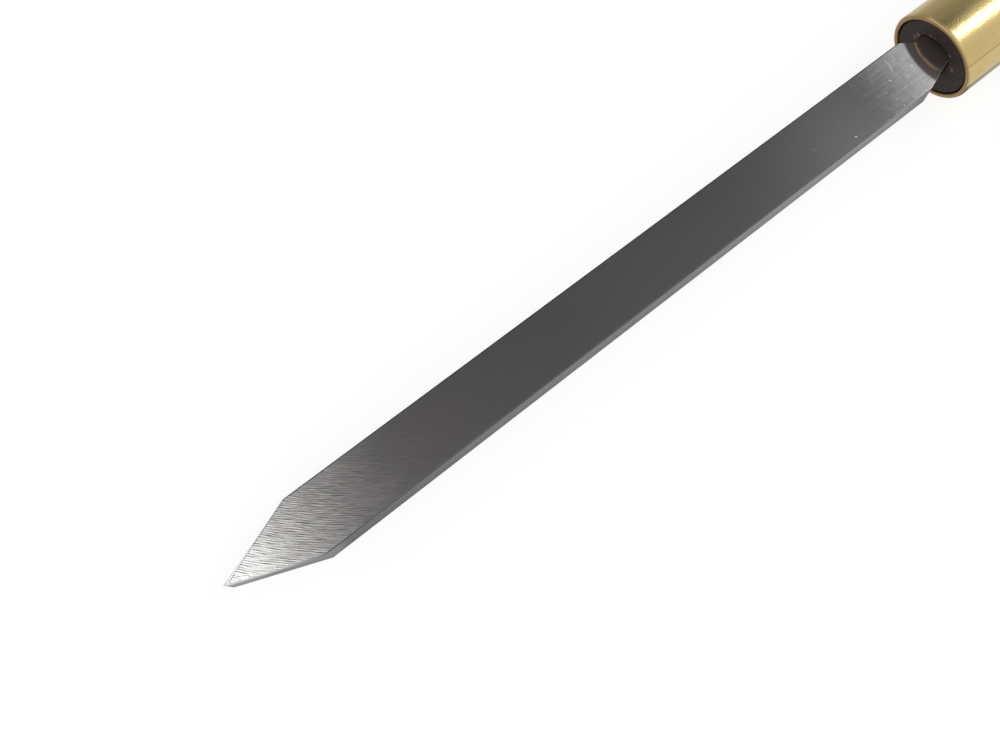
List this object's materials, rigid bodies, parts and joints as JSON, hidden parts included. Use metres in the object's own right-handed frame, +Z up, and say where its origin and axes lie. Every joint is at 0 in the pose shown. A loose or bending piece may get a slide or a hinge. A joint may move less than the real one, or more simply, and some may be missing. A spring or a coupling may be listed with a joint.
{
  "type": "parting tool",
  "caption": "Woodturning parting tool: a flat steel bar ground on both edges to a narrow point, with its tang set in a brass-ferruled turned wooden handle",
  "frame": {"origin": "below the middle of the tool's length, at the height of the handle's lowest line when the bar lies level", "axes": "X runs along the tool from the point to the butt, Y across the depth of the bar, Z up, square to the bar's wide sides"},
  "size_m": [0.4312, 0.032, 0.032],
  "materials": {
    "tool_steel": "fine ground high-speed steel with coarser grinding marks at the point",
    "ferrule_brass": "polished drawn brass tube with a rounded front rim",
    "stained_wood": "dark stained hardwood with a satin coat, bare end grain at the tang"
  },
  "bodies": {
    "root": {"blade": "tool_steel", "ferrule": "ferrule_brass", "handle": "stained_wood"}
  },
  "joints": []
}
